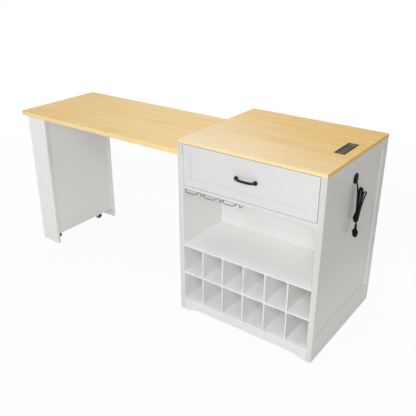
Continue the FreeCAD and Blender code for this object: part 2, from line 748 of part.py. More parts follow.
def make_power_strip():
    """The power strip let into the worktop: moulded body with bezel, two outlets and a USB insert."""
    left = "(power_centre_x - bezel_width / 2)"
    near = "(power_centre_y - bezel_length / 2)"
    bezel = eased("bezel_eased", box("bezel_blank", (left, "bezel_width"), (near, "bezel_length"),
                                     ("cabinet_height", "bezel_thick")))
    housing = box("power_housing", (f"{left} + housing_inset", "bezel_width - 2 * housing_inset"),
                  (f"{near} + housing_inset", "bezel_length - 2 * housing_inset"),
                  ("cabinet_height - housing_depth", "housing_depth + 1"))
    bed = "(cabinet_height - insert_sink)"
    tray_length = "(bezel_length - 2 * bezel_border)"
    tray = box("insert_tray", (f"{left} + bezel_border", "bezel_width - 2 * bezel_border"),
               (f"{near} + bezel_border", tray_length), (bed, "bezel_thick + insert_sink"))
    body = cut("power_body", joined("power_shell", [bezel, housing]), [tray])

    insert_width = (f"{left} + bezel_border + insert_gap", "bezel_width - 2 * (bezel_border + insert_gap)")
    share = f"({tray_length} / 8)"
    inserts = []
    for name, first, count in (("outlet_near", 0, 3), ("outlet_far", 3, 3), ("usb", 6, 2)):
        start = f"({near} + bezel_border + {first} * {share} + insert_parting)"
        length = f"({count} * {share} - 2 * insert_parting)"
        blank = box(f"{name}_blank", insert_width, (start, length), (bed, "insert_rise"))
        plate = eased(f"{name}_eased", blank, "insert_gap")
        centre = f"({start} + {length} / 2)"
        inserts.append(cut(f"{name}_insert", plate, make_apertures(name, centre, bed)))
    return [body, group("power_sockets", inserts)]


def make_apertures(name, centre, bed):
    """Two blade slots and an earth hole for an outlet, or two ports for USB."""
    through = (bed, "insert_rise")
    if name == "usb":
        across = ("power_centre_x - port_width / 2", "port_width")
        return [box(f"usb_port_{sign}", across,
                    (f"{centre} {sign} port_pitch / 2 - port_height / 2", "port_height"), through)
                for sign in "+-"]
    blade = (f"{centre} + 1", "outlet_length")
    slots = [box(f"{name}_blade_{sign}",
                 (f"power_centre_x {sign} outlet_pitch / 2 - outlet_width / 2", "outlet_width"),
                 blade, through)
             for sign in "+-"]
    earth = rod(f"{name}_earth", "z", "power_centre_x", f"{centre} - earth_drop", bed,
                "earth_dia / 2", "insert_rise")
    return slots + [earth]


# The hank hangs turned half towards the room: u runs along its loops, n across its layers.
HANK_TURN = math.radians(45)
HANK_CENTRE = (size("cabinet_width") + 13.4, 318)
LEAD_U, LEAD_N = -9.0, -2.0
LEAD_END_Z = 720
WAIST_Z = 645
WAIST_HALF = 5.8
ENTRY_U = -5.0
EXIT_U = -14.0
PLUG_TOP_Z = 585
# Each turn's highest and lowest point, as u and z.
TOP_ENDS = ((22.8, 721.8), (2.2, 741.1), (-4.4, 749.0), (-9.6, 745.2))
LOW_ENDS = ((-1.1, 582.3), (-6.6, 589.2), (-12.3, 589.2), (-20.2, 605.5))


def hank_point(u, n, z):
    """Return a point of the hank in the table's frame."""
    cos, sin = math.cos(HANK_TURN), math.sin(HANK_TURN)
    return at(HANK_CENTRE[0] + u * cos + n * sin, HANK_CENTRE[1] + u * sin - n * cos, z)


def hank_way(u, n, z):
    """Return a direction given along the hank's own axes."""
    return (hank_point(u, n, z) - hank_point(0, 0, 0)).normalize()


def hank_layer(turn):
    """Return how far towards the room a turn of the hank lies."""
    return LEAD_N + (turn + 0.5) * size("hank_pitch")


def fold(turn, top):
    """Return a turn's fold as the centre and radius of its half circle and its lean."""
    waist_u = 5.7 - 5.4 * turn
    radius = size("hank_fold")
    centre_u, end_z = (TOP_ENDS if top else LOW_ENDS)[turn]
    centre_z = end_z - radius if top else end_z + radius
    lean = math.atan2(centre_u - waist_u, abs(centre_z - WAIST_Z))
    return waist_u, centre_u, centre_z, radius, lean


def hank_stations():
    """Return the hank's stations: points with the way that the cord runs through them."""
    cord = size("cord_dia")
    climb = 1.5 * size("hank_pitch") / (LEAD_END_Z - 590)
    down = hank_way(0, climb, -1)
    stations = [(hank_point(LEAD_U, LEAD_N, LEAD_END_Z - cord), hank_way(0, 0, -1)),
                (hank_point(ENTRY_U, LEAD_N, WAIST_Z), down)]
    turns = len(TOP_ENDS)
    for turn in range(turns):
        layer = hank_layer(turn)
        waist_u, u, z, radius, lean = fold(turn, top=False)
        side = (radius * math.cos(lean), radius * math.sin(lean))
        sink = hank_way(math.sin(lean), 0, -math.cos(lean))
        stations.append((hank_point(u - side[0], layer, z - side[1]), sink))
        stations.append((hank_point(u + side[0], layer, z + side[1]), sink * -1))
        stations.append((hank_point(waist_u + WAIST_HALF, layer, WAIST_Z), hank_way(0, 0, 1)))
        waist_u, u, z, radius, lean = fold(turn, top=True)
        side = (radius * math.cos(lean), radius * math.sin(lean))
        rise = hank_way(math.sin(lean), 0, math.cos(lean))
        stations.append((hank_point(u + side[0], layer, z - side[1]), rise))
        stations.append((hank_point(u - side[0], layer, z + side[1]), rise * -1))
        last = turn == turns - 1
        step = size("hank_pitch") * (1 if last else 0.35)
        way = hank_way(0, 0, -1) if last else down
        stations.append((hank_point(waist_u - WAIST_HALF, layer + step, WAIST_Z), way))
    stations.append((hank_point(EXIT_U, hank_layer(turns), PLUG_TOP_Z + cord), hank_way(0, 0, -1)))
    return stations


def least_gap(edges, diameter):
    """Return the least clear distance between stretches of a tube that aren't neighbours."""
    step = 2.0
    points = []
    for edge in edges:
        points += edge.discretize(max(2, int(edge.Length / step) + 1))[:-1]
    skip = int(4 * diameter / step)
    nearest = min((points[i] - points[j]).Length
                  for i in range(len(points)) for j in range(i + skip, len(points)))
    return nearest - diameter


def make_hank():
    """The folded cord that hangs from the grommet, as one unbroken tube."""
    stations = hank_stations()
    cord = size("cord_dia")
    begin, _ = stations[0]
    finish, _ = stations[-1]
    edges = [Part.LineSegment(begin + Vector(0, 0, cord), begin).toShape()]
    for (start, leaving), (end, arriving) in zip(stations, stations[1:]):
        edges += biarc(start, leaving, end, arriving)
    edges.append(Part.LineSegment(finish, finish - Vector(0, 0, cord)).toShape())
    gap = least_gap(edges, cord)
    tightest = min(edge.Curve.Radius for edge in edges if isinstance(edge.Curve, Part.Circle))
    print(f"cord_hank: length {sum(edge.Length for edge in edges):.0f} mm, least gap {gap:.2f} mm,",
          f"tightest radius {tightest:.1f} mm")
    if gap < 0.4:
        raise ValueError("the hank touches itself")
    return solid("cord_hank", tube(edges, cord / 2))


def make_lead():
    """The grommet with its sleeve, the lead inside the cabinet and the lead outside it."""
    wall = size("cabinet_width") - size("frame_thick")
    inner_wall = wall - size("side_thick")
    grommet_y = size("grommet_y")
    height = size("grommet_height")
    outward = Vector(1, 0, 0)

    run = 27
    steep = math.radians(66)
    hank_top = hank_point(LEAD_U, LEAD_N, LEAD_END_Z)
    bend = hank_top + Vector(0, 0, run)
    leaving = Vector(math.cos(steep), 0, -math.sin(steep))
    mouth = bend - leaving * run

    radius = size("grommet_dia") / 2
    flange = Part.makeCylinder(radius, size("grommet_flange"), at(wall, grommet_y, height), outward)
    rim = [edge for edge in flange.Edges
           if isinstance(edge.Curve, Part.Circle) and edge.Curve.Center.x > cabinet_x + wall + 1]
    flange = flange.makeFillet(2, rim)
    barrel = Part.makeCylinder(size("barrel_dia") / 2, size("side_thick") + 1,
                               at(inner_wall, grommet_y, height), outward)
    sleeve_length = 11
    sleeve = Part.makeCone(size("sleeve_dia") / 2, size("cord_dia") / 2 + 0.4, sleeve_length,
                           mouth - leaving * sleeve_length, leaving)
    behind_wall = Part.makeBox(60, 200, 200, at(wall - 60, grommet_y - 100, height - 100))
    sleeve = sleeve.cut(behind_wall)
    way_out = Part.makeCylinder(size("cord_dia") / 2 + 0.3, run, mouth, leaving)
    grommet = flange.multiFuse([barrel, sleeve]).cut(way_out).removeSplitter()

    inside_route = [(-41.5, 67), (-41.5, 34.5), (-37.4, 19), (-27.1, 6.8), (-12.6, 0), (0, 0)]
    inside = [at(inner_wall + x, grommet_y, height + z) for x, z in inside_route]
    return [
        solid("cable_grommet", grommet),
        solid("cord_inner", cord_tube("cord_inner", inside)),
        solid("cord_lead", cord_tube("cord_lead", [mouth, bend, hank_top])),
    ]


def make_plug():
    """A flat angled plug: a six-sided moulding with a tapered strain relief, and its blades."""
    layer = hank_layer(len(TOP_ENDS))
    relief = 26
    shoulder = PLUG_TOP_Z - relief
    tip = shoulder - size("plug_length")
    wide, narrow, thick = size("plug_width") / 2, 6.5, size("plug_thick")
    outline = [(-narrow, shoulder), (-wide, shoulder - 11), (-wide, shoulder - 20), (-narrow, tip),
               (narrow, tip), (wide, shoulder - 20), (wide, shoulder - 11), (narrow, shoulder)]
    back = layer - thick / 2
    corners = [hank_point(EXIT_U + u, back, z) for u, z in outline]
    face = Part.Face(Part.makePolygon(corners + corners[:1]))
    toward_room = hank_way(0, 1, 0)
    moulding = face.extrude(toward_room * thick)
    moulding = moulding.makeFillet(2, moulding.Edges)
    cone = Part.makeCone(size("cord_dia") / 2 + 1.2, narrow - 0.5, relief + 4,
                         hank_point(EXIT_U, layer, PLUG_TOP_Z), Vector(0, 0, -1))
    body = moulding.fuse(cone).removeSplitter()

    blades = []
    along = FreeCAD.Rotation(Vector(0, 0, 1), math.degrees(HANK_TURN))
    length = size("blade_length")
    for u in (-6.35, 6.35):
        blade = Part.makeBox(1.5, length, 6.4, Vector(-0.75, 0, -3.2))
        blade = blade.makeChamfer(0.5, blade.Edges)
        place = FreeCAD.Placement(hank_point(EXIT_U + u, back, shoulder - 12), along)
        blades.append(solid("blade_left" if u < 0 else "blade_right", blade, place))
    earth = Part.makeCylinder(2.4, length + 2, hank_point(EXIT_U, back, shoulder - 25), toward_room * -1)
    blades.append(solid("blade_earth", earth))
    return [solid("plug_body", body), group("plug_blades", blades)]


nodes = make_shell() + make_rack() + [make_stemware_rack()] + make_slides() + make_guides()
nodes += make_drawer() + make_leaf() + make_casters() + make_power_strip()
nodes += make_lead() + [make_hank()] + make_plug()

doc.recompute()
for piece in doc.Objects:
    if "Invalid" in piece.State or "Error" in piece.State:
        raise RuntimeError(f"{piece.Label} could not be worked out: {piece.State}")
for node in nodes:
    if node.Shape.isNull() or not node.Shape.isValid() or node.Shape.Volume <= 0:
        raise RuntimeError(f"{node.Label} has no valid solid")

os.makedirs("parts", exist_ok=True)
for node in nodes:
    node.Shape.exportStep(f"parts/{node.Label}.step")
print(len(nodes), "nodes written")
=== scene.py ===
import logging
import math
from dataclasses import dataclass, field
from enum import Enum
from typing import ClassVar, Iterable, Sequence, Union

import bpy
from mathutils import Euler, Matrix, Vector


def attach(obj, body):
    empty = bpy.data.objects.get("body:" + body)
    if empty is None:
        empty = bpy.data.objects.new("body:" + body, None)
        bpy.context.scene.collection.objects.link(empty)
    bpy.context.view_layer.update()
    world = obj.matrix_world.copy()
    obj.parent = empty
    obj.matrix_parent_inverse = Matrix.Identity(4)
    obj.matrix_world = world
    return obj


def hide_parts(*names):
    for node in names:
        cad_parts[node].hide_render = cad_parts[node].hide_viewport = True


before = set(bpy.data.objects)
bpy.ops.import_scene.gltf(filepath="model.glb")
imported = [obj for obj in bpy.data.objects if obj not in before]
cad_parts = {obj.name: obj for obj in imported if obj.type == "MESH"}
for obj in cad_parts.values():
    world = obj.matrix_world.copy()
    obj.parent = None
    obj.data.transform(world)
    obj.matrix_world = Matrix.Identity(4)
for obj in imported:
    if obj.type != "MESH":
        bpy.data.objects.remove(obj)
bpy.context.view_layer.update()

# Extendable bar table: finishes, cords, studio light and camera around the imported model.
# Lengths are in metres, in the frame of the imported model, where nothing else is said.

LOG = logging.getLogger("bar_table")
MILLIMETRES = 1000.0  # in one metre

Colour = tuple[float, float, float, float]
Triple = tuple[float, float, float]
Run = tuple[float, float]
Number = Union["Socket", float]

WHITE: Colour = (1.0, 1.0, 1.0, 1.0)


class Axis(Enum):
    """An axis of the frame, by the name of its output on a shader node."""

    X = "X"
    Y = "Y"
    Z = "Z"


class Grain(Enum):
    """The way that a board's grain runs, as the stretch of its pattern along X, Y and Z."""

    ALONG_X = (0.045, 1.0, 1.0)
    ALONG_Y = (1.0, 0.045, 1.0)


def srgb(red: int, green: int, blue: int) -> Colour:
    """Return a colour that is written as it shows on a screen.

    Args:
        red: red from 0 to 255.
        green: green from 0 to 255.
        blue: blue from 0 to 255.

    Returns:
        The linear colour with full alpha.
    """
    def curve(level: float) -> float:
        """Undo the standard tone curve of screens for one channel."""
        return level / 12.92 if level <= 0.04045 else ((level + 0.055) / 1.055) ** 2.4

    return (curve(red / 255), curve(green / 255), curve(blue / 255), 1.0)


def even(value: float) -> Triple:
    """Return one value for all three axes."""
    return (value, value, value)


@dataclass(frozen=True)
class Pattern:
    """A cloudy pattern: repeats per metre along X, Y and Z, finer layers and their strength, bend, start."""

    repeats: Triple
    layers: float
    strength: float
    bend: float = 0.0
    start: Triple = (0.0, 0.0, 0.0)


@dataclass(frozen=True)
class Streaks:
    """Marks that run with the grain of wood: a pattern without a way or a start.

    It has its repeats per metre across the grain, what those along the grain are multiplied by, the
    number of finer layers, their strength and the bend.
    """

    across: float
    along: float
    layers: float
    strength: float
    bend: float = 0.0


@dataclass(frozen=True)
class Relief:
    """How a bump shows: what a height of 1 is worth, and the share of it that shows."""

    depth: float
    share: float


class Socket:
    """A shader value; arithmetic on it adds Math nodes to its tree."""

    def __init__(self, tree: "ShaderTree", out: bpy.types.NodeSocket | None) -> None:
        """Wrap an output of a node in a tree; a closing node has none."""
        self.tree = tree
        self.out = out

    def _math(self, operation: str, *values: Number) -> "Socket":
        """Add one Math node."""
        return self.tree.node("ShaderNodeMath", {"operation": operation}, values)

    def __add__(self, other: Number) -> "Socket":
        """Return the sum."""
        return self._math("ADD", self, other)

    __radd__ = __add__

    def __sub__(self, other: Number) -> "Socket":
        """Return the difference."""
        return self._math("SUBTRACT", self, other)

    def __rsub__(self, other: Number) -> "Socket":
        """Return the difference from a number."""
        return self._math("SUBTRACT", other, self)

    def __mul__(self, other: Number) -> "Socket":
        """Return the product."""
        return self._math("MULTIPLY", self, other)

    def larger(self, other: Number) -> "Socket":
        """Return the larger of two values."""
        return self._math("MAXIMUM", self, other)

    def size(self) -> "Socket":
        """Return the value without its sign."""
        return self._math("ABSOLUTE", self)

    def ramped(self, run: Run) -> "Socket":
        """Return the value as a smooth share of the way along a run."""
        smooth = {"interpolation_type": "SMOOTHSTEP"}
        return self.tree.node("ShaderNodeMapRange", smooth, (self, *run, 0.0, 1.0))


class ShaderTree:
    """A node tree, and the one method that adds nodes to it."""

    MIX_SHARE: ClassVar[int] = 0
    MIX_FIRST: ClassVar[int] = 6
    MIX_SECOND: ClassVar[int] = 7
    MIX_RESULT: ClassVar[int] = 2
    SEEN_RAYS: ClassVar[tuple[str, ...]] = ("Is Camera Ray", "Is Glossy Ray", "Is Transmission Ray")

    def __init__(self, owner: bpy.types.Material | bpy.types.World) -> None:
        """Empty the tree of a material or of the surroundings.

        Args:
            owner: what the tree belongs to.
        """
        owner.use_nodes = True
        self.owner = owner
        self.nodes = owner.node_tree.nodes
        self.links = owner.node_tree.links
        self.nodes.clear()

    def node(self, kind: str, settings: dict | None = None, inputs: dict | Sequence = (),
             out: int | str = 0) -> Socket:
        """Add a node.

        Args:
            kind: the node's type.
            settings: the node's own settings, set first; stops are a colour ramp's.
            inputs: values or links of its sockets, in their order, or by name or number.
            out: the name or number of the output that is returned.

        Returns:
            The chosen output.
        """
        made = self.nodes.new(kind)
        for key, setting in (settings or {}).items():
            if key == "stops":
                self._set_stops(made.color_ramp, setting)
            else:
                setattr(made, key, setting)
        for key, value in inputs.items() if isinstance(inputs, dict) else enumerate(inputs):
            if isinstance(value, Socket):
                self.links.new(value.out, made.inputs[key])
            else:
                made.inputs[key].default_value = value
        return Socket(self, made.outputs[out] if made.outputs else None)

    @staticmethod
    def _set_stops(ramp: bpy.types.ColorRamp, stops: Sequence[tuple[float, Colour]]) -> None:
        """Give a colour ramp its stops.

        Args:
            ramp: the ramp.
            stops: each stop's place and colour.
        """
        while len(ramp.elements) < len(stops):
            ramp.elements.new(1.0)
        for element, (place, colour) in zip(ramp.elements, stops):
            element.position = place
            element.color = colour

    def place(self, scale: Triple = (1.0, 1.0, 1.0), shift: Triple = (0.0, 0.0, 0.0)) -> Socket:
        """Return the piece's own coordinates, stretched and shifted.

        Args:
            scale: pattern repeats per metre along each axis.
            shift: where the pattern starts.

        Returns:
            The coordinates.
        """
        own = self.node("ShaderNodeTexCoord", out="Object")
        return self.node("ShaderNodeMapping", inputs={"Vector": own, "Location": shift, "Scale": scale})

    def level(self, axis: Axis) -> Socket:
        """Return how far a place lies along an axis."""
        return self.node("ShaderNodeSeparateXYZ", inputs=[self.place()], out=axis.value)

    def towards(self, way: Triple) -> Socket:
        """Return how far a place lies along a direction."""
        return self.node("ShaderNodeVectorMath", {"operation": "DOT_PRODUCT"}, [self.place(), way], "Value")

    def reach(self) -> Socket:
        """Return how far a place lies from the origin."""
        return self.node("ShaderNodeVectorMath", {"operation": "LENGTH"}, [self.place()], "Value")

    def facing(self, axis: Axis) -> Socket:
        """Return how far a surface faces along an axis, from -1 to 1."""
        normal = self.node("ShaderNodeNewGeometry", out="Normal")
        return self.node("ShaderNodeSeparateXYZ", inputs=[normal], out=axis.value)

    def noise(self, pattern: Pattern) -> Socket:
        """Return a cloudy pattern from 0 to 1.

        Args:
            pattern: its scale and its looks.

        Returns:
            The pattern's value.
        """
        return self.node("ShaderNodeTexNoise", inputs={
            "Vector": self.place(pattern.repeats, pattern.start), "Scale": 1.0, "Detail": pattern.layers,
            "Roughness": pattern.strength, "Distortion": pattern.bend})

    def mix(self, share: Number, first: Socket | Colour, second: Socket | Colour,
            blend: str = "MIX") -> Socket:
        """Return a colour between two.

        Args:
            share: how much of the second colour shows.
            first: the first colour.
            second: the second colour.
            blend: the way that they are mixed.

        Returns:
            The mixed colour.
        """
        inputs = {self.MIX_SHARE: share, self.MIX_FIRST: first, self.MIX_SECOND: second}
        settings = {"data_type": "RGBA", "blend_type": blend}
        return self.node("ShaderNodeMix", settings, inputs, self.MIX_RESULT)

    def bump(self, height: Socket, relief: Relief) -> Socket:
        """Return a normal that follows a height from 0 to 1."""
        inputs = {"Height": height, "Distance": relief.depth, "Strength": relief.share}
        return self.node("ShaderNodeBump", inputs=inputs)

    def surface(self, **inputs: Socket | float | Colour) -> bpy.types.Material:
        """Close the tree with a principled surface.

        Args:
            inputs: the surface's sockets, with underscores for spaces.

        Returns:
            The finished material.
        """
        named = {key.replace("_", " "): value for key, value in inputs.items()}
        shader = self.node("ShaderNodeBsdfPrincipled", inputs=named)
        self.node("ShaderNodeOutputMaterial", inputs={"Surface": shader})
        return self.owner

    def seen(self) -> Socket:
        """Return 1 where something is seen straight, in a mirror or through glass, else 0."""
        camera, glossy, through = (self.node("ShaderNodeLightPath", out=ray) for ray in self.SEEN_RAYS)
        return camera.larger(glossy).larger(through)


@dataclass(frozen=True)
class Finish:
    """What all finishes share: a name, and one material made when it is first used."""

    name: str
    MADE: ClassVar[dict[str, bpy.types.Material]] = {}

    def material(self) -> bpy.types.Material:
        """Return the finish's material, made once.

        Returns:
            The material.
        """
        if self.name not in self.MADE:
            self.MADE[self.name] = self.make(ShaderTree(bpy.data.materials.new(self.name)))
        return self.MADE[self.name]

    def make(self, tree: ShaderTree) -> bpy.types.Material:
        """Fill a tree with this finish.

        Args:
            tree: the empty tree of a new material.

        Returns:
            The finished material.
        """
        raise NotImplementedError


@dataclass(frozen=True)
class WoodFinish(Finish):
    """Pale lacquered wood: broad tones, long streaks, fine fibres and short pores along the grain.

    The long edges and the ends carry edge tapes, more even and less glossy than the lacquer, and the
    underside is a plain backing. The long edges' tape is paler than the end tape: partly darker end
    grain, partly a painted highlight along the front edge. One board may be painted paler towards its
    front left corner: a painted sheen that stands in for the lamps' reflection in the lacquer.
    """

    grain: Grain
    dark: Colour
    middle: Colour
    pale: Colour
    # the long edges' tape is paler than the end tape: partly darker end grain, partly a painted highlight
    highlit_tape: Colour
    end_tape: Colour
    backing: Colour
    seed: float = 0.0
    rough: float = 0.36
    shine: float = 0.06
    # painted sheen: how strongly the board is painted paler towards its front left corner
    painted_sheen: float = 0.0

    BROAD: ClassVar[Streaks] = Streaks(8.0, 1.6, 2.0, 0.5, 0.5)
    STREAK: ClassVar[Streaks] = Streaks(92.0, 0.7, 4.0, 0.62, 0.4)
    FIBRE: ClassVar[Streaks] = Streaks(520.0, 0.6, 2.0, 0.6)
    PORE: ClassVar[Streaks] = Streaks(900.0, 1.2, 1.0, 0.4)
    SEED_WAY: ClassVar[Triple] = (1.0, 0.7, 0.3)
    PORE_RUN: ClassVar[Run] = (0.60, 0.74)
    BROAD_TONE: ClassVar[float] = 0.20
    STREAK_TONE: ClassVar[float] = 0.58
    FIBRE_TONE: ClassVar[float] = 0.22
    PORE_TONE: ClassVar[float] = 0.18
    TONE_STOPS: ClassVar[Triple] = (0.36, 0.50, 0.64)
    # painted sheen: the paler colour, the way and the run of the patch that stands in for the lamps'
    # reflection
    SHEEN_TONE: ClassVar[Colour] = srgb(255, 247, 231)
    SHEEN_WAY: ClassVar[Triple] = (-0.42, -0.91, 0.0)
    SHEEN_RUN: ClassVar[Run] = (-0.44, 0.20)
    LYING_RUN: ClassVar[Run] = (0.35, 0.75)
    BELOW_RUN: ClassVar[Run] = (0.4, 0.8)
    END_RUN: ClassVar[Run] = (0.4, 0.8)
    TAPE_SHARE: ClassVar[float] = 0.8
    BACKING_SHARE: ClassVar[float] = 0.9
    STREAK_ROUGH: ClassVar[float] = 0.08
    PORE_ROUGH: ClassVar[float] = 0.15
    TAPE_ROUGH: ClassVar[float] = 0.20
    FIBRE_HEIGHT: ClassVar[float] = 0.5
    STREAK_HEIGHT: ClassVar[float] = 0.3
    PORE_DEPTH: ClassVar[float] = 0.5
    RELIEF: ClassVar[Relief] = Relief(0.0004, 0.14)

    def pattern(self, marks: Streaks) -> Pattern:
        """Return the pattern of marks, drawn out along this board's grain.

        Args:
            marks: the marks.

        Returns:
            Their pattern, which starts elsewhere for each seed.
        """
        drawn = (stretch if stretch == 1.0 else stretch * marks.along for stretch in self.grain.value)
        repeats = tuple(marks.across * stretch for stretch in drawn)
        start = tuple(self.seed * share for share in self.SEED_WAY)
        return Pattern(repeats, marks.layers, marks.strength, marks.bend, start)

    def make(self, tree: ShaderTree) -> bpy.types.Material:
        """Fill a tree with this finish.

        Args:
            tree: the empty tree of a new material.

        Returns:
            The finished material.
        """
        broad = tree.noise(self.pattern(self.BROAD))
        streak = tree.noise(self.pattern(self.STREAK))
        fibre = tree.noise(self.pattern(self.FIBRE))
        pore = tree.noise(self.pattern(self.PORE)).ramped(self.PORE_RUN)
        tone = broad * self.BROAD_TONE + streak * self.STREAK_TONE + fibre * self.FIBRE_TONE
        stops = list(zip(self.TONE_STOPS, (self.dark, self.middle, self.pale)))
        face = tree.node("ShaderNodeValToRGB", {"stops": stops}, [tone])
        face = tree.mix(pore * self.PORE_TONE, face, self.dark, "MULTIPLY")
        # painted sheen: pale the colour towards the front left corner, where the lamps' reflection lies
        if self.painted_sheen:
            sheen_mask = tree.towards(self.SHEEN_WAY).ramped(self.SHEEN_RUN)
            face = tree.mix(sheen_mask * self.painted_sheen, face, self.SHEEN_TONE)
        height = tree.facing(Axis.Z)
        upright = 1 - height.size().ramped(self.LYING_RUN)
        below = (0 - height).ramped(self.BELOW_RUN)
        # painted highlight in part: the long edges take the paler tape, the ends the darker end tape
        edge = tree.mix(tree.facing(Axis.X).size().ramped(self.END_RUN), self.highlit_tape, self.end_tape)
        taped = tree.mix(upright * self.TAPE_SHARE, face, edge)
        uneven = streak * self.STREAK_ROUGH + pore * self.PORE_ROUGH + upright * self.TAPE_ROUGH
        bumps = fibre * self.FIBRE_HEIGHT + streak * self.STREAK_HEIGHT - pore * self.PORE_DEPTH
        return tree.surface(
            Base_Color=tree.mix(below * self.BACKING_SHARE, taped, self.backing),
            Roughness=uneven + self.rough,
            Normal=tree.bump(bumps, self.RELIEF),
            Specular_IOR_Level=self.shine,
        )


@dataclass(frozen=True)
class PaintFinish(Finish):
    """Satin paint on board: a fine rolled texture, faint clouds in the tone and uneven sheen.

    A tall board may change its tone upwards, along its rise: painted shade where the upper tone is
    darker, painted light where it is paler. A deep board may be painted darker near its front and paler
    deep inside, painted light against the shade in the cells and the niche. Faces that face the front
    may take their own tone: lit and shaded copies of the paint, toned for how the front lamps light them.
    """

    colour: Colour
    shade: Colour
    rough: float = 0.39
    # painted light and shade: the front-facing tone, the upper tone and the near tone, lit and shaded copies
    # of the paint
    front: Colour | None = None
    painted_upper_tone: Colour | None = None
    rise: Run = (0.40, 0.67)
    painted_near_tone: Colour | None = None

    CLOUD: ClassVar[Pattern] = Pattern(even(3.1), 3.0, 0.5, start=(0.4, 0.9, 0.2))
    ROLLER: ClassVar[Pattern] = Pattern(even(420.0), 2.0, 0.5)
    PEEL: ClassVar[Pattern] = Pattern(even(130.0), 2.0, 0.6)
    SCUFF: ClassVar[Pattern] = Pattern((17.0, 17.0, 60.0), 5.0, 0.7)
    CLOUD_RUN: ClassVar[Run] = (0.3, 0.8)
    SCUFF_RUN: ClassVar[Run] = (0.60, 0.80)
    # painted light: the depth over which a board turns from its near tone to its paler deep tone
    PAINTED_NEAR_RUN: ClassVar[Run] = (-0.31, -0.20)
    # painted light and shade: how far a face must face the front to take the front-facing tone
    PAINTED_FRONT_RUN: ClassVar[Run] = (0.5, 0.9)
    CLOUD_TONE: ClassVar[float] = 0.55
    SCUFF_TONE: ClassVar[float] = 0.3
    PEEL_ROUGH: ClassVar[float] = 0.10
    SCUFF_ROUGH: ClassVar[float] = 0.12
    ROLLER_HEIGHT: ClassVar[float] = 0.6
    PEEL_HEIGHT: ClassVar[float] = 0.4
    RELIEF: ClassVar[Relief] = Relief(0.00025, 0.10)
    SHINE: ClassVar[float] = 0.25

    def make(self, tree: ShaderTree) -> bpy.types.Material:
        """Fill a tree with this finish.

        Args:
            tree: the empty tree of a new material.

        Returns:
            The finished material.
        """
        cloud = tree.noise(self.CLOUD).ramped(self.CLOUD_RUN)
        roller = tree.noise(self.ROLLER)
        peel = tree.noise(self.PEEL)
        scuff = tree.noise(self.SCUFF).ramped(self.SCUFF_RUN)
        colour = tree.mix(cloud * self.CLOUD_TONE + scuff * self.SCUFF_TONE, self.colour, self.shade)
        # painted light and shade: change the tone with height, darker above on the sides and the leg, paler
        # above on the inner back
        if self.painted_upper_tone:
            colour = tree.mix(tree.level(Axis.Z).ramped(self.rise), colour, self.painted_upper_tone)
        # painted light: tone the board darker near its front and paler deep inside, against the shade in the
        # cells
        if self.painted_near_tone:
            colour = tree.mix(1 - tree.level(Axis.Y).ramped(self.PAINTED_NEAR_RUN), colour, self.painted_near_tone)
        # painted light and shade: faces that face the front take their own tone, for how the front lamps
        # light them
        if self.front:
            colour = tree.mix(tree.facing(Axis.Y).size().ramped(self.PAINTED_FRONT_RUN), colour, self.front)
        return tree.surface(
            Base_Color=colour,
            Roughness=peel * self.PEEL_ROUGH + scuff * self.SCUFF_ROUGH + self.rough,
            Normal=tree.bump(roller * self.ROLLER_HEIGHT + peel * self.PEEL_HEIGHT, self.RELIEF),
            Specular_IOR_Level=self.SHINE,
        )


@dataclass(frozen=True)
class MetalFinish(Finish):
    """Bare or plated metal: fine drawn lines, cloudy tarnish and finger marks in the sheen."""

    colour: Colour
    tarnish: Colour
    rough: float
    drawn: Triple = (260.0, 260.0, 12.0)

    LINE_LAYERS: ClassVar[float] = 3.0
    LINE_STRENGTH: ClassVar[float] = 0.6
    CLOUD: ClassVar[Pattern] = Pattern(even(36.0), 4.0, 0.6)
    MARK_RUN: ClassVar[Run] = (0.45, 0.75)
    MARK_TONE: ClassVar[float] = 0.5
    MARK_ROUGH: ClassVar[float] = 0.16
    LINE_ROUGH: ClassVar[float] = 0.10
    RELIEF: ClassVar[Relief] = Relief(0.00012, 0.12)

    def make(self, tree: ShaderTree) -> bpy.types.Material:
        """Fill a tree with this finish.

        Args:
            tree: the empty tree of a new material.

        Returns:
            The finished material.
        """
        line = tree.noise(Pattern(self.drawn, self.LINE_LAYERS, self.LINE_STRENGTH))
        mark = tree.noise(self.CLOUD).ramped(self.MARK_RUN)
        return tree.surface(
            Base_Color=tree.mix(mark * self.MARK_TONE, self.colour, self.tarnish),
            Metallic=1.0,
            Roughness=mark * self.MARK_ROUGH + line * self.LINE_ROUGH + self.rough,
            Normal=tree.bump(line, self.RELIEF),
        )


@dataclass(frozen=True)
class BlackMetalFinish(Finish):
    """Satin black coated metal, a little rubbed where the coat is thin."""

    colour: Colour
    rubbed: Colour
    rough: float = 0.18

    GRIT: ClassVar[Pattern] = Pattern(even(1300.0), 2.0, 0.5)
    WEAR: ClassVar[Pattern] = Pattern(even(90.0), 4.0, 0.65)
    WEAR_RUN: ClassVar[Run] = (0.56, 0.74)
    WEAR_TONE: ClassVar[float] = 0.6
    GRIT_ROUGH: ClassVar[float] = 0.08
    WEAR_SMOOTH: ClassVar[float] = 0.06
    RELIEF: ClassVar[Relief] = Relief(0.0001, 0.2)
    SHINE: ClassVar[float] = 0.25

    def make(self, tree: ShaderTree) -> bpy.types.Material:
        """Fill a tree with this finish.

        Args:
            tree: the empty tree of a new material.

        Returns:
            The finished material.
        """
        grit = tree.noise(self.GRIT)
        wear = tree.noise(self.WEAR).ramped(self.WEAR_RUN)
        return tree.surface(
            Base_Color=tree.mix(wear * self.WEAR_TONE, self.colour, self.rubbed),
            Roughness=self.rough + grit * self.GRIT_ROUGH - wear * self.WEAR_SMOOTH,
            Normal=tree.bump(grit, self.RELIEF),
            Specular_IOR_Level=self.SHINE,
        )


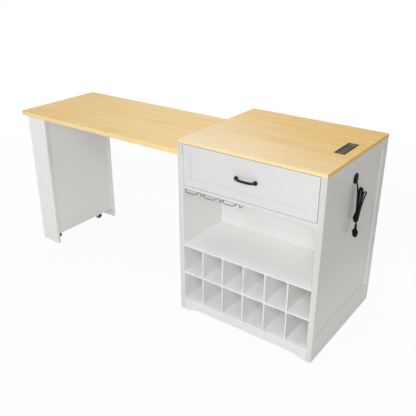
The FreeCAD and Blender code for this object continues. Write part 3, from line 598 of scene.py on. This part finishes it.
@dataclass(frozen=True)
class MouldedFinish(Finish):
    """Moulded plastic or rubber: a spark-eroded grain, soft dust and uneven sheen.

    The power strip's plates are painted paler at both ends: a painted highlight where their ends catch
    reflections.
    """

    colour: Colour
    dust: Colour
    rough: float
    grain: float = 1600.0
    depth: float = 0.00012
    shine: float = 0.2
    cloud: float = 55.0
    # painted highlight: the paler colour at both ends of the power strip's plates
    painted_tip_highlight: Colour | None = None

    SPARK_LAYERS: ClassVar[float] = 2.0
    CLOUD_LAYERS: ClassVar[float] = 4.0
    LAYER_STRENGTH: ClassVar[float] = 0.6
    CLOUD_RUN: ClassVar[Run] = (0.42, 0.78)
    CLOUD_TONE: ClassVar[float] = 0.45
    # painted highlight: the strip's middle, and how far from it the plates turn paler
    STRIP_MIDDLE: ClassVar[float] = 0.014
    TIP_HIGHLIGHT_RUN: ClassVar[Run] = (0.059, 0.063)
    CLOUD_ROUGH: ClassVar[float] = 0.14
    SPARK_ROUGH: ClassVar[float] = 0.08
    RELIEF_SHARE: ClassVar[float] = 0.25

    def make(self, tree: ShaderTree) -> bpy.types.Material:
        """Fill a tree with this finish.

        Args:
            tree: the empty tree of a new material.

        Returns:
            The finished material.
        """
        spark = tree.noise(Pattern(even(self.grain), self.SPARK_LAYERS, self.LAYER_STRENGTH))
        cloud = tree.noise(Pattern(even(self.cloud), self.CLOUD_LAYERS, self.LAYER_STRENGTH))
        cloud = cloud.ramped(self.CLOUD_RUN)
        colour = tree.mix(cloud * self.CLOUD_TONE, self.colour, self.dust)
        # painted highlight: pale the plates towards both ends of the strip
        if self.painted_tip_highlight:
            off_middle = (tree.level(Axis.Y) - self.STRIP_MIDDLE).size()
            colour = tree.mix(off_middle.ramped(self.TIP_HIGHLIGHT_RUN), colour, self.painted_tip_highlight)
        return tree.surface(
            Base_Color=colour,
            Roughness=cloud * self.CLOUD_ROUGH + spark * self.SPARK_ROUGH + self.rough,
            Normal=tree.bump(spark, Relief(self.depth, self.RELIEF_SHARE)),
            Specular_IOR_Level=self.shine,
        )


# edge tones: the paler long-edge tape, partly a painted highlight, then the end tape and the backing
EDGE_TONES = (srgb(250, 224, 168), srgb(241, 187, 100), srgb(226, 223, 216))
TOP_TONES = (srgb(233, 187, 102), srgb(246, 207, 133), srgb(252, 221, 160), *EDGE_TONES)
LEAF_TONES = (srgb(237, 194, 115), srgb(249, 214, 146), srgb(254, 226, 171), *EDGE_TONES)
PINE_TONES = (srgb(186, 146, 92), srgb(206, 170, 118), srgb(220, 188, 140),
              srgb(200, 160, 106), srgb(182, 140, 88), srgb(200, 160, 106))
# the worktop carries the painted sheen towards its front left corner
TOP_WOOD = WoodFinish("top_wood", Grain.ALONG_X, *TOP_TONES, painted_sheen=0.45)
LEAF_WOOD = WoodFinish("leaf_wood", Grain.ALONG_X, *LEAF_TONES, seed=3.7)
GUIDE_PINE = WoodFinish("guide_pine", Grain.ALONG_X, *PINE_TONES, seed=1.9, rough=0.58)
STOP_PINE = WoodFinish("stop_pine", Grain.ALONG_Y, *PINE_TONES, seed=5.1, rough=0.58)
SATIN_WHITE = PaintFinish("satin_white", srgb(230, 230, 230), srgb(227, 227, 226))
# painted shade: the sides' copy of the white paint is darker, and darker still upwards, for how little light
# falls on them
SHADED_SIDE_WHITE = PaintFinish("shaded_side_white", srgb(221, 221, 218), srgb(218, 218, 214),
                         painted_upper_tone=srgb(211, 211, 208), rise=(0.14, 0.46))
# painted shade: the drawer front's copy of the white paint is darker, to tone down the light on it
SHADED_DRAWER_WHITE = PaintFinish("shaded_drawer_white", srgb(219, 219, 219), srgb(216, 216, 215))
# painted light and shade: the leg's copy of the white paint is paler, darker on front-facing faces and darker
# upwards where the leaf shades it
LIT_LEG_WHITE = PaintFinish("lit_leg_white", srgb(242, 242, 240), srgb(239, 239, 236), front=srgb(236, 236, 236),
                        painted_upper_tone=srgb(229, 229, 228), rise=(0.12, 0.66))
# painted light: the shelves and plinth are whiter than the satin paint, partly a whiter board, partly painted
# light for the shade in the cells; front-facing faces are painted darker
LIT_BOARD_WHITE = PaintFinish("lit_board_white", srgb(252, 252, 251), srgb(250, 250, 249), 0.45,
                          front=srgb(231, 231, 231))
# painted light: the dividers are whiter still, darker near the front and on front-facing faces, paler deep
# inside against the shade in the cells
LIT_DIVIDER_WHITE = PaintFinish("lit_divider_white", srgb(255, 255, 254), srgb(254, 254, 253), 0.45,
                            front=srgb(228, 228, 228), painted_near_tone=srgb(238, 238, 237))
# painted light and shade: the left side and drawer deck are painted whiter, less so above the cells, darker
# near the front and on front-facing faces
LIT_WALL_WHITE = PaintFinish("lit_wall_white", srgb(252, 252, 251), srgb(250, 250, 249), 0.45,
                         front=srgb(220, 220, 219), painted_upper_tone=srgb(243, 243, 242), rise=(0.34, 0.40),
                         painted_near_tone=srgb(238, 238, 237))
# painted light: the inner back is paler than the satin paint, and paler upwards, against the shadow under the
# drawer deck
LIT_BACK_WHITE = PaintFinish("lit_back_white", srgb(245, 245, 244), srgb(243, 243, 241), 0.45,
                         painted_upper_tone=srgb(253, 253, 252))
SATIN_BLACK = BlackMetalFinish("satin_black", srgb(17, 17, 17), srgb(44, 43, 42))
ZINC = MetalFinish("zinc_plate", srgb(198, 200, 203), srgb(150, 152, 150), 0.29, (60.0, 420.0, 420.0))
BRIGHT_WIRE = MetalFinish("bright_wire", srgb(150, 151, 153), srgb(108, 109, 111), 0.19, (500.0, 60.0, 500.0))
CONTACT_BRASS = MetalFinish("contact_brass", srgb(206, 180, 120), srgb(150, 120, 70), 0.21)
GROMMET_BLACK = MouldedFinish("grommet_black", srgb(12, 12, 12), srgb(22, 22, 21), 0.54, shine=0.05)
STRIP_BLACK = MouldedFinish("strip_black", srgb(31, 29, 26), srgb(50, 46, 41), 0.40, shine=0.08)
# the socket plates carry a painted highlight at both ends
SOCKET_PLASTIC = MouldedFinish("socket_plastic", srgb(60, 53, 41), srgb(184, 168, 141), 0.34, shine=0.08,
                               cloud=130.0, painted_tip_highlight=srgb(168, 162, 148))
CORD_SHEATH = MouldedFinish("cord_sheath", srgb(10, 10, 10), srgb(20, 20, 20), 0.46, 900.0, 0.0002, 0.08)
TYRE_TREAD = MouldedFinish("tyre_tread", srgb(24, 24, 24), srgb(52, 50, 48), 0.62, 1100.0, 0.0002)
WHEEL_CENTRE = MouldedFinish("wheel_centre", srgb(122, 122, 124), srgb(150, 149, 147), 0.36)

EASE = 0.0004
EASE_SEGMENTS = 2
EASE_ANGLE = math.radians(30)


def dress(finish: Finish, nodes: Iterable[str], ease: float = 0.0) -> None:
    """Give CAD nodes their finish, and round their edges a little.

    Args:
        finish: what they are finished with.
        nodes: the nodes' names.
        ease: the width of the rounding, or 0 for none.
    """
    for name in nodes:
        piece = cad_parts[name]
        if not piece.material_slots:
            piece.data.materials.append(None)
        for slot in piece.material_slots:
            slot.material = finish.material()
        if ease:
            bevel = piece.modifiers.new("eased_edges", "BEVEL")
            bevel.width = ease
            bevel.segments = EASE_SEGMENTS
            bevel.limit_method = "ANGLE"
            bevel.angle_limit = EASE_ANGLE
            bevel.harden_normals = True
        LOG.info("%s: %s", name, finish.name)


def placed(name: str, data: bpy.types.ID) -> bpy.types.Object:
    """Return a new object in the scene.

    Args:
        name: the object's name.
        data: its mesh, curve, lamp or camera.

    Returns:
        The object.
    """
    piece = bpy.data.objects.new(name, data)
    bpy.context.scene.collection.objects.link(piece)
    return piece


def turned(back: Vector) -> Euler:
    """Return the turn of a camera or lamp whose back points in a direction."""
    return back.to_track_quat("Z", "Y").to_euler()


@dataclass
class CabinetShell:
    """The white carcass with its wooden top and its open niche and bottle cells."""

    sides: tuple[str, ...] = (
        "right_side_board", "right_front_stile", "right_rear_stile", "right_top_rail", "right_bottom_rail",
        "left_header", "left_front_stile", "left_rear_stile", "left_top_rail", "left_middle_rail",
        "left_bottom_rail",
    )
    shelves: tuple[str, ...] = ("front_plinth", "bottom_board", "niche_shelf", "bottle_shelf")
    divider_count: int = 5

    def build(self) -> None:
        """Dress the shell."""
        dress(TOP_WOOD, ["main_top"], EASE)
        dress(SHADED_SIDE_WHITE, self.sides, EASE)
        dress(SATIN_WHITE, ["back_board"], EASE)
        dress(LIT_BOARD_WHITE, self.shelves, EASE)
        dividers = [f"bottle_divider_{number}" for number in range(1, self.divider_count + 1)]
        dress(LIT_DIVIDER_WHITE, dividers, EASE)
        dress(LIT_WALL_WHITE, ["left_side_board", "drawer_deck"], EASE)
        dress(LIT_BACK_WHITE, ["inner_back"], EASE)
        dress(GUIDE_PINE, ["leaf_guide_front", "leaf_guide_rear"])
        dress(BRIGHT_WIRE, ["stemware_rack"])


@dataclass
class Drawer:
    """The drawer: painted front and box, black bow handle, steel slides."""

    boards: tuple[str, ...] = ("drawer_left_side", "drawer_right_side", "drawer_back", "drawer_bottom")

    def build(self) -> None:
        """Dress the drawer and its slides."""
        dress(SHADED_DRAWER_WHITE, ["drawer_front"], EASE)
        dress(SATIN_WHITE, self.boards, EASE)
        dress(SATIN_BLACK, ["drawer_handle"])
        dress(ZINC, ["handle_screws", "slide_outer", "slide_middle", "slide_inner"])


@dataclass
class SlidingLeaf:
    """The wooden leaf with its painted leg and its two fixed casters."""

    boards: tuple[str, ...] = (
        "leg_front_board", "leg_rear_board", "leg_outer_panel", "leg_inner_panel", "caster_board",
    )

    def build(self) -> None:
        """Dress the leaf, the leg and the casters."""
        dress(LEAF_WOOD, ["leaf_top"], EASE)
        dress(STOP_PINE, ["leaf_stop"])
        dress(LIT_LEG_WHITE, self.boards, EASE)
        dress(ZINC, ["caster_brackets", "caster_axles", "caster_screws"])
        for side in ("front", "rear"):
            dress(TYRE_TREAD, [f"{side}_tyre"])
            dress(WHEEL_CENTRE, [f"{side}_hub"])


@dataclass
class PowerStrip:
    """The power strip let into the worktop, and the grommet that its cord leaves through."""

    def build(self) -> None:
        """Dress the strip and the grommet."""
        dress(STRIP_BLACK, ["power_body"])
        dress(GROMMET_BLACK, ["cable_grommet"])
        dress(SOCKET_PLASTIC, ["power_sockets"])


@dataclass
class PowerCord:
    """The lead from the power strip, and the folded hank that hangs from the grommet with its plug.

    Sizes are in millimetres from the cabinet's front left foot, as in the model's source. In the hank,
    u runs along its width and n towards the room. The lengths of cord are in metres.
    """

    plug: tuple[str, ...] = ("plug_body", "plug_blades")
    cabinet_corner: tuple[float, float] = (221.5, -308.0)
    diameter: float = 6.2
    inner_route: tuple[Triple, ...] = (
        (665.5, 310.0, 850.0), (665.5, 310.0, 817.5), (669.6, 310.0, 802.0),
        (679.9, 310.0, 789.8), (694.4, 310.0, 783.0), (707.0, 310.0, 783.0),
    )
    inner_length: float = 0.0924
    free_length: float = 1.447
    hank_corner: tuple[float, float] = (747.4, 318.0)
    hank_turn: float = math.radians(45)
    lead_u: float = -9.0
    lead_n: float = -2.0
    lead_end: float = 720.0
    lead_run: float = 27.0
    lead_steep: float = math.radians(66)
    entry_u: float = -5.0
    top_ends: tuple[tuple[float, float], ...] = ((22.8, 721.8), (2.2, 741.1), (-4.4, 749.0), (-9.6, 745.2))
    low_ends: tuple[tuple[float, float], ...] = ((-1.1, 582.3), (-6.6, 589.2), (-12.3, 589.2), (-20.2, 605.5))
    pitch: float = 7.2
    first_layer: float = 0.5
    crossing: float = 0.225
    waist_z: float = 645.0
    waist_half: float = 5.8
    waist_start: float = 5.7
    waist_step: float = 5.4
    fold_radius: float = 6.4
    fold_angles: tuple[int, ...] = (-30, 30, 90, 150, 210)
    fold_spread: float = math.radians(30)
    drawn_turn: int = 0
    drawn_below: float = 15.0
    drawn_half: float = 3.4
    exit_u: float = -14.0
    exit_rises: tuple[float, float] = (20.0, 0.0)
    plug_top: float = 585.0
    round_steps: int = 5
    line_steps: int = 8
    line_order: int = 3

    def spot(self, x: float, y: float, z: float) -> Vector:
        """Return a point given from the cabinet's foot."""
        return Vector((self.cabinet_corner[0] + x, self.cabinet_corner[1] + y, z)) / MILLIMETRES

    def hank_spot(self, u: float, n: float, z: float) -> Vector:
        """Return a point given along and across the hank."""
        cos, sin = math.cos(self.hank_turn), math.sin(self.hank_turn)
        return self.spot(self.hank_corner[0] + u * cos + n * sin, self.hank_corner[1] + u * sin - n * cos, z)

    def waist_u(self, turn: int) -> float:
        """Return where a turn's middle lies at the waist."""
        return self.waist_start - self.waist_step * turn

    def layer(self, turn: float) -> float:
        """Return how far towards the room a turn lies."""
        return self.lead_n + (turn + self.first_layer) * self.pitch

    def fold(self, turn: int, top: bool) -> list[Vector]:
        """Return the control points of a turn's fold, in the order that the cord runs.

        Args:
            turn: the turn's number.
            top: whether it is the fold at the top.

        Returns:
            Five points around the half circle.
        """
        radius, way = self.fold_radius, 1 if top else -1
        u, end = (self.top_ends if top else self.low_ends)[turn]
        z = end - way * radius
        lean = math.atan2(u - self.waist_u(turn), abs(z - self.waist_z))
        corner = radius / math.cos(self.fold_spread)
        points = []
        for angle in self.fold_angles:
            side = way * corner * math.cos(math.radians(angle))
            out = corner * math.sin(math.radians(angle))
            points.append(self.hank_spot(u + side * math.cos(lean) + out * math.sin(lean), self.layer(turn),
                                         z + way * (out * math.cos(lean) - side * math.sin(lean))))
        return points

    def drawn(self, turn: int, side: int) -> list[Vector]:
        """Return where a turn's strand is drawn in below its top fold.

        Args:
            turn: the turn's number.
            side: 1 for the strand that runs up, -1 for the one that runs down.

        Returns:
            One point for the drawn turn, else none.
        """
        if turn != self.drawn_turn:
            return []
        u, end = self.top_ends[turn]
        z = end - self.fold_radius
        lean = math.atan2(u - self.waist_u(turn), z - self.waist_z)
        return [self.hank_spot(
            u - self.drawn_below * math.sin(lean) + side * self.drawn_half * math.cos(lean), self.layer(turn),
            z - self.drawn_below * math.cos(lean) - side * self.drawn_half * math.sin(lean))]

    def free_route(self) -> list[Vector]:
        """Return the control points from the grommet's sleeve to the plug.

        Returns:
            The points, in the order that the cord runs.
        """
        below = self.hank_spot(self.lead_u, self.lead_n, self.lead_end + self.lead_run)
        leaving = Vector((math.cos(self.lead_steep), 0.0, -math.sin(self.lead_steep)))
        points = [below - leaving * self.lead_run / MILLIMETRES, below,
                  self.hank_spot(self.entry_u, self.lead_n, self.waist_z)]
        turns = len(self.top_ends)
        for turn in range(turns):
            middle = self.waist_u(turn)
            points += self.fold(turn, top=False)
            points.append(self.hank_spot(middle + self.waist_half, self.layer(turn), self.waist_z))
            points += self.drawn(turn, 1) + self.fold(turn, top=True) + self.drawn(turn, -1)
            step = 1.0 if turn == turns - 1 else self.crossing
            points.append(self.hank_spot(middle - self.waist_half, self.layer(turn + step), self.waist_z))
        for rise in self.exit_rises:
            points.append(self.hank_spot(self.exit_u, self.layer(turns), self.plug_top + rise))
        return points

    def curve(self, name: str, points: Sequence[Vector]) -> bpy.types.Object:
        """Return a round cord along a smooth line.

        Args:
            name: the piece's name.
            points: the line's control points.

        Returns:
            The curve object, in the scene.
        """
        data = bpy.data.curves.new(name, "CURVE")
        data.dimensions = "3D"
        data.bevel_depth = self.diameter / 2 / MILLIMETRES
        data.bevel_resolution = self.round_steps
        data.resolution_u = self.line_steps
        data.use_fill_caps = True
        spline = data.splines.new("NURBS")
        spline.points.add(len(points) - 1)
        for control, place in zip(spline.points, points):
            control.co = (*place, 1.0)
        spline.order_u = self.line_order
        spline.use_endpoint_u = True
        data.materials.append(CORD_SHEATH.material())
        cord = placed(name, data)
        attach(cord, "cabinet")
        LOG.info("%s: %d control points", name, len(points))
        return cord

    def build(self) -> None:
        """Lay both stretches of cord and dress the plug."""
        inside = [self.spot(*place) for place in self.inner_route]
        inner = self.curve("inner_lead", inside)
        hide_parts("cord_inner")
        route = self.free_route()
        hank = self.curve("power_cord", route)
        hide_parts("cord_lead", "cord_hank")
        dress(CORD_SHEATH, ["plug_body"])
        dress(CONTACT_BRASS, ["plug_blades"])


@dataclass(frozen=True)
class Lamp:
    """A soft square lamp: where it hangs, what it is aimed at, its width and its power."""

    place: Triple
    aim: Triple
    width: float
    watts: float


@dataclass
class Studio:
    """A white floor and surroundings, soft lamps on all sides, and the camera."""

    eye: Triple = (1.7853, -2.2053, 1.7054)
    azimuth: float = math.radians(36.304)
    elevation: float = math.radians(25.0235)
    lens: float = 49.68
    sensor: float = 36.0
    farthest: float = 60.0
    floor_half: float = 9.0
    floor_drop: float = 0.0006
    floor_tone: Colour = srgb(246, 245, 242)
    shadow_share: float = 0.06
    shadow_run: Run = (1.2, 3.6)
    ambient: float = 0.168
    lamps: dict[str, Lamp] = field(default_factory=lambda: {
        "key": Lamp((2.1, -4.7, 3.4), (0.1, 0.0, 0.45), 3.2, 128.0),
        "camera_side": Lamp((1.7, -2.3, 1.55), (0.55, -0.2, 0.35), 0.5, 13.9),
        "left": Lamp((-4.6, -2.4, 0.9), (-0.8, 0.0, 0.4), 1.6, 44.8),
        "leg": Lamp((-2.2, -2.8, 1.1), (-0.95, -0.1, 0.5), 1.0, 5.0),
        "top": Lamp((-0.1, -0.1, 5.2), (-0.1, 0.0, 0.8), 3.0, 75.5),
        "sheen": Lamp((-2.9, 4.1, 4.0), (0.25, -0.1, 0.9), 2.4, 57.0),
        "rim": Lamp((3.2, 1.8, 1.1), (0.95, 0.0, 0.65), 0.2, 4.0),
        "low": Lamp((2.0, 0.1, 0.42), (2.0, 0.1, 0.0), 0.6, 2.7),
    })

    def build_camera(self) -> None:
        """Place the camera."""
        data = bpy.data.cameras.new("camera")
        data.sensor_width = self.sensor
        data.lens = self.lens
        data.clip_end = self.farthest
        camera = placed("camera", data)
        camera.location = self.eye
        level = math.cos(self.elevation)
        camera.rotation_euler = turned(Vector((
            math.sin(self.azimuth) * level, -math.cos(self.azimuth) * level, math.sin(self.elevation))))
        bpy.context.scene.camera = camera

    def build_floor(self) -> None:
        """Lay a white floor that keeps a faint shadow near the table."""
        mesh = bpy.data.meshes.new("floor")
        half = self.floor_half
        corners = [(-half, -half, 0), (half, -half, 0), (half, half, 0), (-half, half, 0)]
        mesh.from_pydata(corners, [], [(0, 1, 2, 3)])
        floor = placed("floor", mesh)
        floor.location.z = -self.floor_drop
        tree = ShaderTree(bpy.data.materials.new("floor_white"))
        matt = tree.node("ShaderNodeBsdfDiffuse", inputs={"Color": self.floor_tone})
        glow = tree.node("ShaderNodeEmission", inputs={"Color": WHITE, "Strength": 1.0})
        shadow = self.shadow_share - tree.reach().ramped(self.shadow_run) * self.shadow_share
        mixed = tree.node("ShaderNodeMixShader", inputs=[tree.seen() * (1 - shadow), matt, glow])
        tree.node("ShaderNodeOutputMaterial", inputs={"Surface": mixed})
        mesh.materials.append(tree.owner)

    def build_light(self) -> None:
        """Set the white surroundings and the soft lamps."""
        world = bpy.data.worlds.new("surroundings")
        bpy.context.scene.world = world
        tree = ShaderTree(world)
        strength = tree.seen() * (1 - self.ambient) + self.ambient
        glow = tree.node("ShaderNodeBackground", inputs={"Color": WHITE, "Strength": strength})
        tree.node("ShaderNodeOutputWorld", inputs={"Surface": glow})
        for name, lamp in self.lamps.items():
            data = bpy.data.lights.new(name, "AREA")
            data.size = lamp.width
            data.energy = lamp.watts
            piece = placed(name, data)
            piece.location = lamp.place
            piece.rotation_euler = turned(Vector(lamp.place) - Vector(lamp.aim))
            piece.visible_camera = False
            LOG.info("%s: lamp of %.1f W", name, lamp.watts)

    def build(self) -> None:
        """Build the studio around the table."""
        self.build_camera()
        self.build_floor()
        self.build_light()
        bpy.context.scene.view_settings.view_transform = "Standard"


def main() -> None:
    """Build the studio and dress each sub-assembly in turn."""
    logging.basicConfig(level=logging.INFO, format="%(name)s: %(message)s")
    for part in (Studio(), PowerCord(), CabinetShell(), Drawer(), SlidingLeaf(), PowerStrip()):
        part.build()
        LOG.info("%s built", type(part).__name__)
    bpy.context.view_layer.update()


if __name__ == "__main__":
    main()
